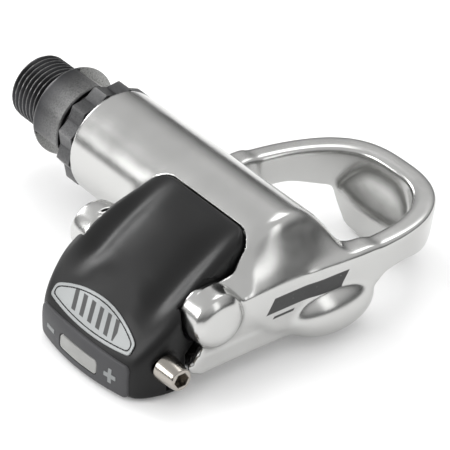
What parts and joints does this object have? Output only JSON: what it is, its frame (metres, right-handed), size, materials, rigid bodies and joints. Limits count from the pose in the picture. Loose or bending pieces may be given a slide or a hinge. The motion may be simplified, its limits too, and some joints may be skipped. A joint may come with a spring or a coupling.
{
  "type": "clipless road pedal",
  "caption": "Left road cycling pedal with a step-in cleat platform: a threaded spindle turns in a polished body with a front loop, and a sprung rear claw with a tension screw holds the cleat.",
  "frame": {"origin": "centre of the flat end face of the threaded spindle end, on the spindle's axis", "axes": "+X along the spindle away from the crank, +Y towards the front loop, +Z away from the cleat platform, so the part lies with its platform down"},
  "size_m": [0.0902, 0.0808, 0.0283],
  "materials": {
    "polished_aluminium": "polished",
    "black_steel": "black oxide, satin",
    "black_alloy": "black anodised",
    "black_rubber": "matt",
    "black_composite": "satin, finely textured",
    "grey_composite": "matt",
    "clear_plastic": "clear",
    "silver_foil": "silver film",
    "nut_plastic": "pale grey",
    "steel": "bright",
    "bearing_steel": "ground",
    "spring_steel": "oiled",
    "bronze": "plain"
  },
  "bodies": {
    "pedal": {"pedal_body": "polished_aluminium", "lock_nut": "black_alloy", "dust_seal": "black_rubber", "needle_shell": "steel", "race_outer_a": "bearing_steel", "race_outer_b": "bearing_steel", "pivot_pin": "steel", "torsion_spring_inner": "spring_steel", "torsion_spring_outer": "spring_steel", "spring_spacer": "grey_composite"},
    "spindle": {"spindle": "black_steel", "race_inner_a": "bearing_steel", "race_inner_b": "bearing_steel", "spindle_end_nut": "steel", "end_washer": "steel"},
    "needle_set": {"needle_cage": "steel"},
    "ball_set_a": {"ball_cage_a": "bronze"},
    "ball_set_b": {"ball_cage_b": "bronze"},
    "claw": {"claw_shell": "black_composite", "jaw_plate": "steel", "indicator_bezel": "grey_composite", "indicator_window": "clear_plastic", "badge": "silver_foil", "pivot_bushing_inner": "bronze", "pivot_bushing_outer": "bronze"},
    "tension_screw": {"tension_screw": "steel", "screw_clip": "steel"},
    "tension_nut": {"tension_nut": "nut_plastic"}
  },
  "joints": [
    {"name": "spindle_spin", "type": "hinge", "parent": "pedal", "child": "spindle", "pos_m": [0.05, 0, 0], "axis": [1, 0, 0], "continuous": true},
    {"name": "needle_roll", "type": "hinge", "parent": "pedal", "child": "needle_set", "pos_m": [0.039, 0, 0], "axis": [1, 0, 0], "continuous": true},
    {"name": "ball_roll_a", "type": "hinge", "parent": "pedal", "child": "ball_set_a", "pos_m": [0.0685, 0, 0], "axis": [1, 0, 0], "continuous": true},
    {"name": "ball_roll_b", "type": "hinge", "parent": "pedal", "child": "ball_set_b", "pos_m": [0.0741, 0, 0], "axis": [1, 0, 0], "continuous": true},
    {"name": "claw_release", "type": "hinge", "parent": "pedal", "child": "claw", "pos_m": [0.066, -0.019, -0.0018], "axis": [-1, 0, 0], "range_deg": [0, 7], "stiffness_Nm_per_rad": 4, "springref_deg": -8.59},
    {"name": "tension_turn", "type": "hinge", "parent": "claw", "child": "tension_screw", "pos_m": [0.066, -0.0296, -0.0095], "axis": [1, 0, 0], "range_deg": [-1800, 1800]},
    {"name": "tension_travel", "type": "slide", "parent": "claw", "child": "tension_nut", "axis": [1, 0, 0], "range_m": [-0.0031, 0.0031]}
  ],
  "couplings": [
    {"joint": "needle_roll", "follows": "spindle_spin", "ratio": 0.42},
    {"joint": "ball_roll_a", "follows": "spindle_spin", "ratio": 0.41},
    {"joint": "ball_roll_b", "follows": "spindle_spin", "ratio": 0.41},
    {"joint": "tension_travel", "follows": "tension_turn", "m_per_rad": 0.000095493}
  ]
}
